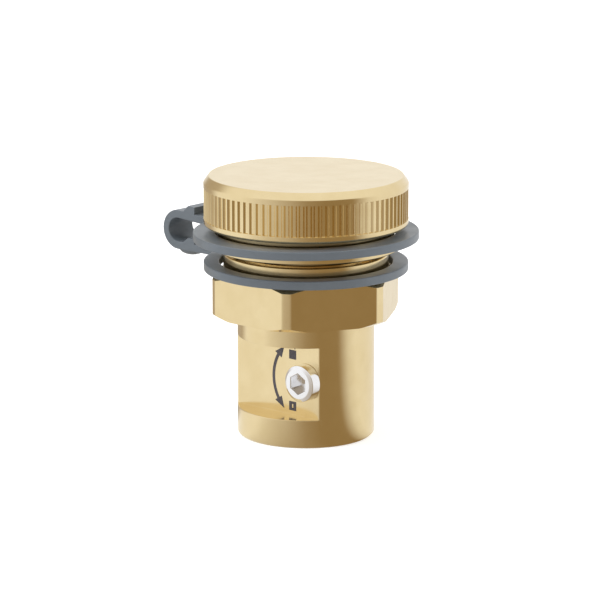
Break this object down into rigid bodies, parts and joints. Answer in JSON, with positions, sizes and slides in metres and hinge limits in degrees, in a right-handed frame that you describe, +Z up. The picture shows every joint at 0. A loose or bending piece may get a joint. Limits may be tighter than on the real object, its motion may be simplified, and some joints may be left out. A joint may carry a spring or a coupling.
{
  "type": "pipe adapter",
  "caption": "Brass plug-in pipe adapter: a sleeve with a locking cross pin, a spanner hexagon, and a threaded outlet closed by a knurled cap that hangs on a plastic tether.",
  "frame": {"origin": "on the body axis, in the plane of the sleeve's bottom face", "axes": "+Z up the body axis towards the cap, -Y out of the milled flat along the locking pin, -X towards the tether's strap"},
  "size_m": [0.0781, 0.0602, 0.0704],
  "materials": {
    "brass": "satin, turned and lightly brushed",
    "plated_pin": "bright nickel plate",
    "screw_steel": "plain",
    "seal_rubber": "matte",
    "gasket_rubber": "matte",
    "tether_plastic": "smooth, slightly glossy"
  },
  "bodies": {
    "adapter": {"adapter_body": "brass", "lower_seal_ring": "seal_rubber", "upper_seal_ring": "seal_rubber", "stop_screw": "screw_steel"},
    "pin": {"lock_pin": "plated_pin", "pin_friction_ring": "seal_rubber"},
    "tether_ring": {"tether": "tether_plastic"},
    "screw_cap": {"cap": "brass", "cap_gasket": "gasket_rubber"}
  },
  "joints": [
    {"name": "pin_turn", "type": "hinge", "parent": "adapter", "child": "pin", "pos_m": [0.01, -0.01125, 0.01745], "axis": [0, -1, 0], "range_deg": [0, 90]},
    {"name": "cap_lift", "type": "slide", "parent": "adapter", "child": "tether_ring", "axis": [0, 0, 1], "range_m": [0, 0.01155]},
    {"name": "cap_turn", "type": "hinge", "parent": "tether_ring", "child": "screw_cap", "pos_m": [0, 0, 0.0511], "axis": [0, 0, 1], "range_deg": [0, 1800]}
  ],
  "couplings": [
    {"joint": "cap_lift", "follows": "cap_turn", "m_per_rad": 0.00036749}
  ]
}
